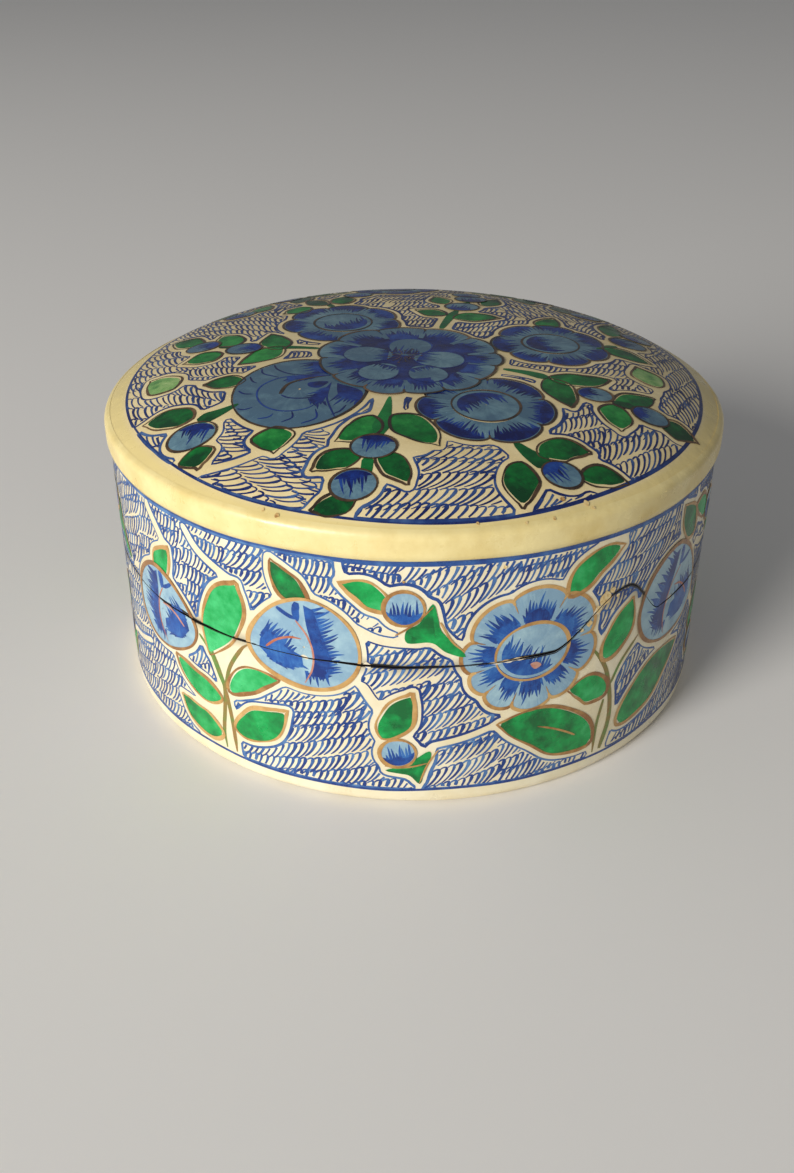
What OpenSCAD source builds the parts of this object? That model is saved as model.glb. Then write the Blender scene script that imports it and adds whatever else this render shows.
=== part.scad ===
// Round lidded box of papier mache, painted all over.
// The body is moulded in one from paper pulp and then sawn open round the middle. The cut is level
// but for one rounded tooth, which stands up from the base into the lid and sets which way it goes on.
// A collar glued inside the base holds the lid.
// +Z is up, the front is -Y, and the origin is at the middle of the underside. Sizes are in millimetres.

/* [Body] */
// Outer diameter of the painted wall
box_d = 120; // [90:1:150]
// Height of the crease where the rim turns into the crown
crease_h = 55.5; // [48:0.5:70]
// Thickness of the pulp wall and crown
pulp_t = 2.5; // [2:0.1:3.5]
// Thickness of the gesso and paint on every outer face
coat_t = 0.5; // [0.3:0.1:0.8]
// Thickness of the pulp floor
floor_t = 3; // [2:0.1:5]
// Radius of the rounded edge that the box stands on
foot_r = 1.5; // [1:0.1:3]

/* [Crown] */
// Rise of the crown from the crease to the middle
crown_rise = 10; // [6:0.5:12]
// Fullness of the crown: 2 is an even dome, and more is flatter in the middle
crown_power = 4; // [2:0.1:4.5]
// How far the rim band stands proud of the wall
band_proud = 0.8; // [0.4:0.1:1.5]
// Height of the rim band below the crease
band_h = 5.2; // [3:0.1:8]
// Radius of the rim band's worn corners
band_corner = 0.8; // [0.4:0.1:1.2]

/* [Saw cut] */
// Height of the saw cut
cut_h = 30; // [24:0.5:34]
// Width of the cut, which is the gap between base and lid
cut_gap = 0.4; // [0.3:0.1:0.8]
// Height of the tooth above the cut
tooth_h = 8.7; // [4:0.1:10]
// Reach of the tooth's long flank, to the left of its peak
tooth_left = 15; // [10:0.5:20]
// Reach of the tooth's short flank, to the right of its peak
tooth_right = 10.5; // [8:0.1:16]
// Slenderness of the tooth: 1 is half a wave, and more draws its flanks in
tooth_power = 1.5; // [1:0.1:2]
// Direction of the tooth, in degrees from the front towards +X
tooth_angle = 37.7; // [0:0.1:90]

/* [Collar and lining] */
// Thickness of the collar
collar_t = 1.6; // [1.2:0.1:2.5]
// How far the collar stands above the tooth
collar_cover = 2.3; // [1:0.1:5]
// Gap between the collar and the inside of the lid
collar_fit = 0.3; // [0.3:0.05:0.6]
// Thickness of the black lacquered lining paper
lining_t = 0.4; // [0.3:0.1:0.8]

/* [Hidden] */

$fn = 96;

// Steps along the crown's curve, along each flank of the tooth and round each worn corner
crown_steps = 24;
flank_steps = 12;
corner_steps = 5;
// Turn of the rim band's upper corner, from upright to the slope of the crown
corner_turn = 56;
// How far cutting shapes run past what they cut
over = 1;

box_r = box_d / 2;
pulp_r = box_r - coat_t;
inner_r = pulp_r - pulp_t;
band_r = box_r + band_proud;
band_z = crease_h - band_h;
crease_r = band_r - band_corner * (1 - cos(corner_turn));
shell_t = coat_t + pulp_t;

base_top = cut_h - cut_gap / 2;
lid_bottom = cut_h + cut_gap / 2;
floor_top = coat_t + floor_t;
lining_r = inner_r - lining_t;
collar_out = lining_r - collar_fit;
collar_in = collar_out - collar_t;
collar_top = cut_h + tooth_h + collar_cover;
// Underside of the crown where it meets the wall
wall_top = crown_z(inner_r) - shell_t;

pulp_colour = [0.55, 0.45, 0.33];
cream = [0.93, 0.86, 0.68];
black = [0.07, 0.06, 0.06];

// Height of the painted crown at a distance r from the middle
function crown_z(r) = crease_h + crown_rise * (1 - pow(r / crease_r, crown_power));

// Points along the crown, lowered by drop, from radius a to radius b
function crown_line(a, b, drop) = [
    for (i = [0 : crown_steps])
        let (r = a + (b - a) * i / crown_steps)
        [r, crown_z(r) - drop]
];

// Points on an arc about c, from angle a to angle b
function arc(c, radius, a, b) = [
    for (i = [0 : corner_steps])
        let (t = a + (b - a) * i / corner_steps)
        [c[0] + radius * cos(t), c[1] + radius * sin(t)]
];

// Height of the tooth's outline at x from its peak, for flanks that reach left and right
function tooth_z(x, left, right) = tooth_h * pow(cos(90 * x / (x < 0 ? left : right)), tooth_power);

// The space below the saw cut, tooth included. The lid's side of the cut is raised and widened by gap.
// The outline runs down past the level at its ends, so that it meets the level at a clear angle.
module below_cut(gap) {
    level = base_top + gap;
    left = tooth_left + gap;
    right = tooth_right + gap;
    flanks = concat(
        [for (i = [1 - flank_steps : 0]) left * i / flank_steps],
        [for (i = [1 : flank_steps - 1]) right * i / flank_steps]
    );
    outline = concat(
        [for (x = flanks) [x, level + tooth_z(x, left, right)]],
        [[right + over, level - over], [-left - over, level - over]]
    );
    union() {
        translate([0, 0, -over])
            cylinder(h = level + over, r = band_r + over);
        rotate([0, 0, tooth_angle])
            rotate([90, 0, 0])
                linear_extrude(height = band_r + over)
                    polygon(outline);
    }
}

// Section of a ring between two radii and two heights
module ring_section(r_in, r_out, low, high) {
    translate([r_in, low])
        square([r_out - r_in, high - low]);
}

// Section of a wall that stands on a rounded outer edge
module footed_section(r_in, r_out, low, high, edge) {
    difference() {
        ring_section(r_in, r_out, low, high);
        translate([r_out - edge, low])
            difference() {
                translate([0, -over])
                    square([edge + over, edge + over]);
                translate([0, edge])
                    circle(r = edge);
            }
    }
}

// Coat of gesso and paint under the floor, as far as the rounded edge
module underside_coat() {
    color(cream)
        cylinder(h = coat_t, r = box_r - foot_r);
}

// Pulp disc that closes the base
module base_floor() {
    color(pulp_colour)
        translate([0, 0, coat_t])
            cylinder(h = floor_t, r = inner_r);
}

// Pulp wall of the base, with the tooth
module base_wall() {
    color(pulp_colour)
        intersection() {
            rotate_extrude()
                footed_section(inner_r, pulp_r, coat_t, collar_top, foot_r - coat_t);
            below_cut(0);
        }
}

// Coat of gesso and paint on the outside of the base, with its rounded lower edge
module base_wall_coat() {
    color(cream)
        intersection() {
            rotate_extrude()
                difference() {
                    footed_section(box_r - foot_r, box_r, 0, collar_top, foot_r);
                    footed_section(0, pulp_r, coat_t, collar_top + over, foot_r - coat_t);
                }
            below_cut(0);
        }
}

// Collar that stands on the floor and holds the lid. Below the cut it is packed out to the wall.
module inner_collar() {
    color(black)
        union() {
            translate([0, 0, floor_top])
                difference() {
                    cylinder(h = collar_top - floor_top, r = collar_out);
                    translate([0, 0, -over])
                        cylinder(h = collar_top - floor_top + 2 * over, r = collar_in);
                }
            intersection() {
                rotate_extrude()
                    ring_section(collar_out - collar_t / 2, inner_r, floor_top, collar_top);
                below_cut(0);
            }
        }
}

// Black lacquered paper over the floor, inside the collar
module floor_lining() {
    color(black)
        translate([0, 0, floor_top])
            cylinder(h = lining_t, r = collar_in);
}

// Pulp wall of the lid, notched for the tooth
module lid_wall() {
    color(pulp_colour)
        difference() {
            rotate_extrude()
                ring_section(inner_r, pulp_r, lid_bottom - over, wall_top);
            below_cut(cut_gap);
        }
}

// Domed pulp disc that closes the lid. Its edge lies on the lid's wall.
module lid_crown() {
    section = concat(
        crown_line(0, pulp_r, coat_t),
        [[pulp_r, wall_top]],
        crown_line(inner_r, 0, shell_t)
    );
    color(pulp_colour)
        rotate_extrude()
            polygon(section);
}

// Raised band of gesso round the lid, from the wall's painted line up to the crease
module lid_rim_band() {
    lower = [band_r - band_corner, band_z + band_corner];
    upper = [band_r - band_corner, crease_h - band_corner * sin(corner_turn)];
    section = concat(
        [[pulp_r, band_z]],
        arc(lower, band_corner, -90, 0),
        arc(upper, band_corner, 0, corner_turn),
        [[pulp_r, crown_z(pulp_r)]]
    );
    color(cream)
        rotate_extrude()
            polygon(section);
}

// Coat of gesso and paint on the lid's wall, up to the rim band
module lid_wall_coat() {
    color(cream)
        difference() {
            rotate_extrude()
                ring_section(pulp_r, box_r, lid_bottom - over, band_z);
            below_cut(cut_gap);
        }
}

// Coat of gesso and paint over the crown, inside the rim band
module lid_crown_coat() {
    section = concat(
        crown_line(0, pulp_r, 0),
        crown_line(pulp_r, 0, coat_t)
    );
    color(cream)
        rotate_extrude()
            polygon(section);
}

// Black lacquered paper over the inside of the lid, wall and crown
module lid_lining() {
    section = concat(
        [[lining_r, lid_bottom - over], [inner_r, lid_bottom - over]],
        crown_line(inner_r, 0, shell_t),
        crown_line(0, lining_r, shell_t + lining_t)
    );
    color(black)
        difference() {
            rotate_extrude()
                polygon(section);
            below_cut(cut_gap);
        }
}

underside_coat();
base_floor();
base_wall();
base_wall_coat();
inner_collar();
floor_lining();
lid_wall();
lid_crown();
lid_rim_band();
lid_wall_coat();
lid_crown_coat();
lid_lining();
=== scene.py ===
import math

import bpy
import numpy as np
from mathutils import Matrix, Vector


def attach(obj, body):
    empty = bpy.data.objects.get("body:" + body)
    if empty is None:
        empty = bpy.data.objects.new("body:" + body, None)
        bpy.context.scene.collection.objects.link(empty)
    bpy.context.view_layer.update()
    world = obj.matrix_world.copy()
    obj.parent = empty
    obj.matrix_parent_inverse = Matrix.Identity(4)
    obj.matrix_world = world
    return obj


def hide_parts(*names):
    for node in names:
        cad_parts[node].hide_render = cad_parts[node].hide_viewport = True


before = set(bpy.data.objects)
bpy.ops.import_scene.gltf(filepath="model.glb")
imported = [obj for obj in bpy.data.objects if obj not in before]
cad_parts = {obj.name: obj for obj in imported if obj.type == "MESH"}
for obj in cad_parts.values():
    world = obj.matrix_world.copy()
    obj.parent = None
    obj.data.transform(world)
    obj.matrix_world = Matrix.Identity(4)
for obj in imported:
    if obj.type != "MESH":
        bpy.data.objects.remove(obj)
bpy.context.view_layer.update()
MM = 0.001


# Camera. It stands in front of the box and looks down on it, as the photograph does.
# Its place, pitch and lens come from fitting the box's rims and border lines as circles.
CAMERA_AT = (-3.66, -226.8, 146.4)
CAMERA_PITCH = 31.05
CAMERA_ROLL = -0.23
CAMERA_LENS = 37.0
camera_data = bpy.data.cameras.new("camera")
camera_data.lens = CAMERA_LENS
camera_data.sensor_width = 36.0
camera_data.clip_start = 0.01
camera = bpy.data.objects.new("camera", camera_data)
bpy.context.scene.collection.objects.link(camera)
camera.location = [c * MM for c in CAMERA_AT]
camera.rotation_euler = (math.radians(90 - CAMERA_PITCH), math.radians(CAMERA_ROLL), 0)
bpy.context.scene.camera = camera


# Pulp body. The wall, floor and crown are moulded paper pulp, seen only where the body is sawn open: a soft
# board, near black partly from lacquer and dirt and partly as painted shade of the gap between base and lid,
# with some brown fibres left bare.
def colour_of(red, green, blue):
    """A colour as the eye reads it, from 0 to 255, made linear for the shader."""
    linear = [((c / 255 + 0.055) / 1.055) ** 2.4 if c > 10 else c / 3295 for c in (red, green, blue)]
    return (*linear, 1)


def new_material(name):
    material = bpy.data.materials.new(name)
    material.use_nodes = True
    return material, material.node_tree.nodes, material.node_tree.links


def in_millimetres(nodes, links):
    """Places on the object, in millimetres."""
    place = nodes.new("ShaderNodeTexCoord")
    sized = nodes.new("ShaderNodeMapping")
    sized.inputs["Scale"].default_value = (1 / MM, 1 / MM, 1 / MM)
    links.new(place.outputs["Object"], sized.inputs["Vector"])
    return sized.outputs["Vector"]


def noise(nodes, links, vector, scale, detail, rough):
    texture = nodes.new("ShaderNodeTexNoise")
    texture.inputs["Scale"].default_value = scale
    texture.inputs["Detail"].default_value = detail
    texture.inputs["Roughness"].default_value = rough
    links.new(vector, texture.inputs["Vector"])
    return texture.outputs["Fac"]


def ramp(nodes, links, value, *stops):
    """Colours along a value: each stop is a place and a colour, or a share of white."""
    band = nodes.new("ShaderNodeValToRGB")
    while len(band.color_ramp.elements) < len(stops):
        band.color_ramp.elements.new(0.5)
    for element, (place, colour) in zip(band.color_ramp.elements, stops):
        element.position = place
        element.color = colour_of(*colour) if isinstance(colour, tuple) else (colour, colour, colour, 1)
    links.new(value, band.inputs["Fac"])
    return band.outputs["Color"]


def bumped(nodes, links, height, distance):
    bump = nodes.new("ShaderNodeBump")
    bump.inputs["Distance"].default_value = distance
    links.new(height, bump.inputs["Height"])
    return bump.outputs["Normal"]


def pulp_material():
    material, nodes, links = new_material("paper_pulp")
    shader = nodes["Principled BSDF"]
    place = in_millimetres(nodes, links)
    fibres = noise(nodes, links, place, 1.6, 8.0, 0.7)
    # Painted shade in part: the pulp is kept near black so that the gap between base and lid reads dark.
    colour = ramp(nodes, links, fibres, (0.4, (22, 18, 15)), (0.6, (44, 34, 26)), (0.78, (112, 84, 56)))
    links.new(colour, shader.inputs["Base Color"])
    links.new(bumped(nodes, links, fibres, 0.0004), shader.inputs["Normal"])
    shader.inputs["Roughness"].default_value = 0.9
    return material


def finish(piece, material):
    piece.data.materials.clear()
    piece.data.materials.append(material)


pulp = pulp_material()
for pulp_node in ("base_floor", "base_wall", "lid_wall", "lid_crown"):
    finish(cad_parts[pulp_node], pulp)


# Collar and linings. The collar is a pasteboard ring glued inside the base, and the floor and lid are
# lined with paper, all brushed with black lacquer, which shows as the dark line between base and lid.
GIRTH_STEPS = 384
MIDDLE_R = 0.01
FLOOR_TOP = 3.5
LINING_T = 0.4
COLLAR_TOP = 41.0
COLLAR_OUT = 56.3
COLLAR_IN = 54.7
LINING_R = 56.6
WALL_IN = 57.0
CUT_H = 30.0
CUT_GAP = 0.4
TOOTH_H = 8.7
TOOTH_LEFT = 15.0
TOOTH_RIGHT = 10.5
TOOTH_POWER = 1.5
TOOTH_AT = math.radians(37.7)
WALL_R = 60.0
CREASE_H = 55.5
CREASE_R = 60.45
CROWN_RISE = 10.0
CROWN_POWER = 4.0
SHELL_T = 3.0


def crown_z(r):
    """Height of the painted crown at a distance r from the middle."""
    return CREASE_H + CROWN_RISE * (1 - (r / CREASE_R) ** CROWN_POWER)


def tooth(s):
    """Height of the saw cut above its level part, at s along the girth."""
    x = np.asarray(s, float) - TOOTH_AT * WALL_R
    across = np.clip(np.where(x < 0, -x / TOOTH_LEFT, x / TOOTH_RIGHT), 0, 1)
    return TOOTH_H * np.cos(across * np.pi / 2) ** TOOTH_POWER


def turned(name, profile):
    """A ring of the first radius and height, drawn out edge by edge along the rest of the profile."""
    bpy.ops.object.select_all(action="DESELECT")
    (r, z), rest = profile[0], profile[1:]
    bpy.ops.mesh.primitive_circle_add(vertices=GIRTH_STEPS, radius=r * MM, location=(0, 0, z * MM))
    piece = bpy.context.object
    piece.name = piece.data.name = name
    bpy.ops.object.transform_apply(location=True)
    bpy.ops.object.mode_set(mode="EDIT")
    bpy.ops.mesh.select_all(action="SELECT")
    for next_r, next_z in rest:
        bpy.ops.mesh.extrude_edges_move(TRANSFORM_OT_translate={"value": (0, 0, (next_z - z) * MM)})
        bpy.ops.transform.resize(value=(next_r / r, next_r / r, 1), center_override=(0, 0, next_z * MM))
        r, z = next_r, next_z
    bpy.ops.mesh.select_all(action="SELECT")
    bpy.ops.mesh.remove_doubles(threshold=1e-6)
    bpy.ops.mesh.normals_make_consistent(inside=False)
    bpy.ops.object.mode_set(mode="OBJECT")
    return piece


def corners(piece):
    """The piece's corners as an array, in millimetres."""
    places = np.zeros(len(piece.data.vertices) * 3)
    piece.data.vertices.foreach_get("co", places)
    return places.reshape(-1, 3) / MM


def set_corners(piece, places):
    piece.data.vertices.foreach_set("co", (places * MM).ravel())
    piece.data.update()


def girth(places):
    """Distance along the wall from the front, on the wall's own radius."""
    return np.arctan2(places[:, 0], -places[:, 1]) * WALL_R


def take_up(piece):
    """Selects one piece, so that the next tool works on it alone."""
    bpy.ops.object.select_all(action="DESELECT")
    piece.select_set(True)
    bpy.context.view_layer.objects.active = piece


def set_in_place(piece, body, material, replaced):
    """Finishes a turned piece, and puts it on its body in place of the plain solid."""
    finish(piece, material)
    take_up(piece)
    bpy.ops.object.shade_smooth_by_angle(angle=math.radians(40))
    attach(piece, body)
    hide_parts(replaced)


def lacquer_material():
    material, nodes, links = new_material("black_lacquer")
    shader = nodes["Principled BSDF"]
    place = in_millimetres(nodes, links)
    strokes = noise(nodes, links, place, 0.35, 6.0, 0.6)
    colour = ramp(nodes, links, strokes, (0.3, (20, 17, 17)), (0.7, (38, 33, 31)))
    links.new(colour, shader.inputs["Base Color"])
    links.new(ramp(nodes, links, strokes, (0.3, 0.28), (0.7, 0.45)), shader.inputs["Roughness"])
    links.new(bumped(nodes, links, strokes, 0.0002), shader.inputs["Normal"])
    return material


lacquer = lacquer_material()
collar_lip = [(0, 0.5), (0.15, 0.12), (0.5, 0)]
collar = turned("collar_ring", [(COLLAR_IN, FLOOR_TOP)]
                + [(COLLAR_IN + inward, COLLAR_TOP - below) for inward, below in collar_lip]
                + [(COLLAR_OUT - inward, COLLAR_TOP - below) for inward, below in collar_lip[::-1]]
                + [(COLLAR_OUT, CUT_H - CUT_GAP), (WALL_IN, CUT_H - CUT_GAP), (WALL_IN, FLOOR_TOP),
                   (COLLAR_IN, FLOOR_TOP)])
set_in_place(collar, "base", lacquer, "inner_collar")
lining = turned("floor_paper", [(r, FLOOR_TOP + LINING_T) for r in (MIDDLE_R, 20, 40, COLLAR_IN)]
                + [(COLLAR_IN, FLOOR_TOP), (MIDDLE_R, FLOOR_TOP), (MIDDLE_R, FLOOR_TOP + LINING_T)])
set_in_place(lining, "base", lacquer, "floor_lining")
under_crown = [(r, float(crown_z(r)) - SHELL_T - LINING_T) for r in np.linspace(LINING_R, MIDDLE_R, 24)]
over_lining = [(r, z + LINING_T) for r, z in under_crown[::-1]]
over_lining[-1] = (WALL_IN, over_lining[-1][1])
lid_low = CUT_H + CUT_GAP / 2
up_the_wall = (34, 38, 42, 46, 50)
lid_paper = turned("lid_paper", [(WALL_IN, lid_low), (LINING_R, lid_low)]
                   + [(LINING_R, z) for z in up_the_wall] + under_crown + over_lining
                   + [(WALL_IN, z) for z in up_the_wall[::-1]] + [(WALL_IN, lid_low)])
lid_paper_at = corners(lid_paper)
low_part = np.clip((up_the_wall[-1] - lid_paper_at[:, 2]) / (up_the_wall[-1] - CUT_H), 0, 1)
lid_paper_at[:, 2] += tooth(girth(lid_paper_at)) * low_part ** 2
set_corners(lid_paper, lid_paper_at)
set_in_place(lid_paper, "lid", lacquer, "lid_lining")


# Gesso ground. The outside is coated with gesso and cream paint and varnished, and the hand that
# smoothed it left it faintly uneven. The varnish is yellow where it lies thick on the rim.
FOOT_R = 1.5
ABOVE_FOOT = 3.0
FLAT_UNDER = 0.4
COAT_T = 0.5
COAT_IN = WALL_R - COAT_T
BAND_LOW = 50.3
BAND_PROUD = 0.7
WORN_EDGE = 0.12
WORN_IN = 0.03
WORN_DOWN = 0.04
# Painted shade with dirt: how far the black band reaches from the sawn edge and how dark it is there. It
# stands partly for the shade in the gap between base and lid.
SHADE_AND_DIRT_REACH = 0.14
SHADE_AND_DIRT_MOST = 1.3
BASE_SAW = 0
LID_SAW = 3
EASE = -0.05


def uneven(s, z):
    """How far the wall lies inside its true radius, in millimetres."""
    turn = s / WALL_R
    rise = z / 15.0
    swell = 0.05 * np.sin(2 * turn + 1.0) + 0.04 * np.sin(5 * turn + rise) + 0.03 * np.cos(9 * turn - rise)
    return 0.12 + swell


def saw_wander(s, seed):
    """The saw's wandering from a true line."""
    turn = s / WALL_R
    return 0.07 * np.sin(11 * turn + seed) + 0.05 * np.sin(23 * turn + 2 * seed) + 0.04 * np.sin(47 * turn)


def crown_uneven(x, y):
    """How far the crown lies below its true height, in millimetres."""
    return 0.16 + 0.05 * np.sin(x / 17.0 + 0.7) + 0.05 * np.cos(y / 13.0 + x / 29.0)


# Depth of the varnish's orange peel in metres, and its roughness where it is clean and where it is rubbed
PEEL_DEPTH = 0.00006
GLOSS = 0.24
RUBBED = 0.42


def varnish_group():
    """The varnish over everything: its faint orange peel and brush ridges, and where it is rubbed dull."""
    group = bpy.data.node_groups.new("varnish", "ShaderNodeTree")
    group.interface.new_socket("Roughness", in_out="OUTPUT", socket_type="NodeSocketFloat")
    group.interface.new_socket("Normal", in_out="OUTPUT", socket_type="NodeSocketVector")
    nodes, links = group.nodes, group.links
    end = nodes.new("NodeGroupOutput")
    place = in_millimetres(nodes, links)
    peel = noise(nodes, links, place, 0.55, 3.0, 0.5)
    swell = noise(nodes, links, place, 0.09, 2.0, 0.5)
    both = nodes.new("ShaderNodeMath")
    both.operation = "MULTIPLY_ADD"
    both.inputs[1].default_value = 6.0
    links.new(swell, both.inputs[0])
    links.new(peel, both.inputs[2])
    links.new(bumped(nodes, links, both.outputs[0], PEEL_DEPTH), end.inputs["Normal"])
    smudge = nodes.new("ShaderNodeMapRange")
    smudge.inputs["From Min"].default_value = 0.35
    smudge.inputs["From Max"].default_value = 0.7
    links.new(noise(nodes, links, place, 0.16, 5.0, 0.65), smudge.inputs["Value"])
    smudge.inputs["To Min"].default_value = GLOSS
    smudge.inputs["To Max"].default_value = RUBBED
    links.new(smudge.outputs["Result"], end.inputs["Roughness"])
    return group


varnish = varnish_group()


def under_varnish(nodes, links):
    """Gives a painted material the varnish's gloss and surface."""
    coat = nodes.new("ShaderNodeGroup")
    coat.node_tree = varnish
    shader = nodes["Principled BSDF"]
    links.new(coat.outputs["Roughness"], shader.inputs["Roughness"])
    links.new(coat.outputs["Normal"], shader.inputs["Normal"])
    return shader


def marked(piece, name, shares):
    """Gives each corner of a ground its share of a mark that the material reads."""
    mark = piece.data.attributes.new(name, "FLOAT", "POINT")
    mark.data.foreach_set("value", np.clip(shares, 0, 1))


def read_mark(nodes, name):
    mark = nodes.new("ShaderNodeAttribute")
    mark.attribute_name = name
    return mark.outputs["Fac"]


def laid_over(nodes, links, share, under, over):
    """The colour over, laid by its share on what is under it."""
    mix = nodes.new("ShaderNodeMix")
    mix.data_type = "RGBA"
    mix.inputs["B"].default_value = colour_of(*over)
    links.new(share, mix.inputs["Factor"])
    links.new(under, mix.inputs["A"])
    return mix.outputs["Result"]


def ground_material(name, pale, deep, stain, past=None):
    """Cream paint over gesso: faint clouds, small brown stains, and a black band at the sawn edge, partly
    dirt and partly painted shade of the gap between base and lid. Past the border line the varnish turns it
    the colour past."""
    material, nodes, links = new_material(name)
    shader = under_varnish(nodes, links)
    place = in_millimetres(nodes, links)
    colour = ramp(nodes, links, noise(nodes, links, place, 0.11, 5.0, 0.6), (0.32, deep), (0.62, pale))
    if past:
        colour = laid_over(nodes, links, read_mark(nodes, "outside"), colour, past)
    specks = ramp(nodes, links, noise(nodes, links, place, 0.9, 6.0, 0.75), (0.66, 0), (0.78, 0.5))
    colour = laid_over(nodes, links, specks, colour, stain)
    # Painted shade with dirt: the black band at the sawn edge stands partly for the shade in the gap between
    # base and lid.
    colour = laid_over(nodes, links, read_mark(nodes, "gap_shade_and_dirt"), colour, (24, 19, 16))
    links.new(colour, shader.inputs["Base Color"])
    return material


def pressed_in(piece, at, s, share=1):
    """Presses the wall's corners in where it is uneven, all or a share of the way."""
    at[:, :2] *= (1 - uneven(s, at[:, 2]) * share / WALL_R)[:, None]
    set_corners(piece, at)


cream_ground = ground_material("cream_ground", (240, 230, 200), (230, 215, 174), (178, 140, 84))
rim_ground = ground_material("rim_ground", (238, 220, 158), (222, 198, 128), (160, 116, 54))
tan_ground = ground_material("tan_ground", (236, 217, 168), (222, 200, 146), (160, 122, 72),
                             past=(230, 209, 143))

foot_turns = np.radians(np.linspace(0, 90, 6))
foot_curve = [(WALL_R - FOOT_R * (1 - math.sin(a)), FOOT_R * (1 - math.cos(a))) for a in foot_turns]
base_top = CUT_H - CUT_GAP / 2
base_ground = turned("base_wall_ground", foot_curve
                     + [(WALL_R, z) for z in np.linspace(ABOVE_FOOT, base_top - WORN_EDGE, 16)]
                     + [(WALL_R - WORN_IN, base_top - WORN_DOWN), (WALL_R - WORN_EDGE, base_top)]
                     + [(COAT_IN, base_top)]
                     + [(COAT_IN, z) for z in np.linspace(base_top - 2, ABOVE_FOOT, 8)]
                     + [(WALL_R - FOOT_R, COAT_T), (WALL_R - FOOT_R, 0)])
base_at = corners(base_ground)
base_s = girth(base_at)
# Painted shade with dirt: the sawn top edge of the base turns black, partly for the shade in the gap under
# the lid.
marked(base_ground, "gap_shade_and_dirt", SHADE_AND_DIRT_MOST - (base_top - base_at[:, 2]) / SHADE_AND_DIRT_REACH)
high_part = np.clip((base_at[:, 2] - ABOVE_FOOT) / (base_top - ABOVE_FOOT), 0, 1)
base_at[:, 2] += (tooth(base_s) + saw_wander(base_s, BASE_SAW) - EASE) * high_part ** 3
pressed_in(base_ground, base_at, base_s, base_at[:, 2] > FLAT_UNDER)
set_in_place(base_ground, "base", cream_ground, "base_wall_coat")
finish(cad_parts["underside_coat"], rim_ground)

lid_ground = turned("lid_wall_ground", [(COAT_IN, BAND_LOW)]
                    + [(COAT_IN, z) for z in np.linspace(BAND_LOW - 3, lid_low + 2, 6)]
                    + [(COAT_IN, lid_low), (WALL_R - WORN_EDGE, lid_low)]
                    + [(WALL_R - WORN_IN, lid_low + WORN_DOWN)]
                    + [(WALL_R, z) for z in np.linspace(lid_low + WORN_EDGE, BAND_LOW, 14)]
                    + [(COAT_IN, BAND_LOW)])
lid_at = corners(lid_ground)
lid_s = girth(lid_at)
# Painted shade with dirt: the sawn lower edge of the lid turns black, partly for the shade in the gap over
# the base.
marked(lid_ground, "gap_shade_and_dirt", SHADE_AND_DIRT_MOST - (lid_at[:, 2] - lid_low) / SHADE_AND_DIRT_REACH)
low_part = np.clip((BAND_LOW - lid_at[:, 2]) / (BAND_LOW - lid_low), 0, 1)
lid_at[:, 2] += (tooth(lid_s) + saw_wander(lid_s, LID_SAW) + EASE) * low_part ** 2
pressed_in(lid_ground, lid_at, lid_s)
set_in_place(lid_ground, "lid", cream_ground, "lid_wall_coat")


def band_radius(z):
    """The rim band's outer radius: it swells out softly from the wall and is full below the crease."""
    return WALL_R + BAND_PROUD * np.sin(np.clip((z - BAND_LOW) / 1.6, 0, 1) * np.pi / 2)


# The crease is rounded over from the upright band to the slope of the crown.
CREASE_ROUND = 1.7
crease_curve = [(WALL_R + BAND_PROUD - CREASE_ROUND * (1 - math.cos(a)), CREASE_ROUND * math.sin(a))
                for a in np.radians(np.linspace(0, 57, 9))]
round_z = float(crown_z(crease_curve[-1][0])) - crease_curve[-1][1]
band_ground = turned("rim_band_ground", [(COAT_IN, BAND_LOW)]
                     + [(float(band_radius(z)), z) for z in np.linspace(BAND_LOW, round_z - 0.1, 12)]
                     + [(r, round_z + rise) for r, rise in crease_curve]
                     + [(COAT_IN, float(crown_z(COAT_IN))), (COAT_IN, BAND_LOW)])
band_at = corners(band_ground)
pressed_in(band_ground, band_at, girth(band_at))
set_in_place(band_ground, "lid", rim_ground, "lid_rim_band")

# The painter's border line is a circle that stands a little in front of the crown's middle.
BORDER_R = 55.7
BORDER_AT = complex(0.0, -2.4)
crown_radii = np.concatenate([np.linspace(MIDDLE_R, 52, 36), np.linspace(53, 59.6, 12)])
crown_top = float(crown_z(0.0))
crown_ground = turned("crown_ground", [(r, float(crown_z(r))) for r in crown_radii]
                      + [(r, float(crown_z(r)) - COAT_T) for r in crown_radii[::-4]]
                      + [(MIDDLE_R, crown_top - COAT_T), (MIDDLE_R, crown_top)])
crown_at = corners(crown_ground)
crown_at[:, 2] -= crown_uneven(crown_at[:, 0], crown_at[:, 1])
set_corners(crown_ground, crown_at)
marked(crown_ground, "outside", np.abs(crown_at[:, 0] + 1j * crown_at[:, 1] - BORDER_AT) - BORDER_R)
set_in_place(crown_ground, "lid", tan_ground, "lid_crown_coat")


# Brushwork. The painter works in a few colours, one over the other. Each colour on each surface is one
# sheet, gathered flat from brush strokes and filled shapes and then laid on the box, a hair above it.
brush_rng = np.random.default_rng(7)
STAGGER = 0.002


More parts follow.
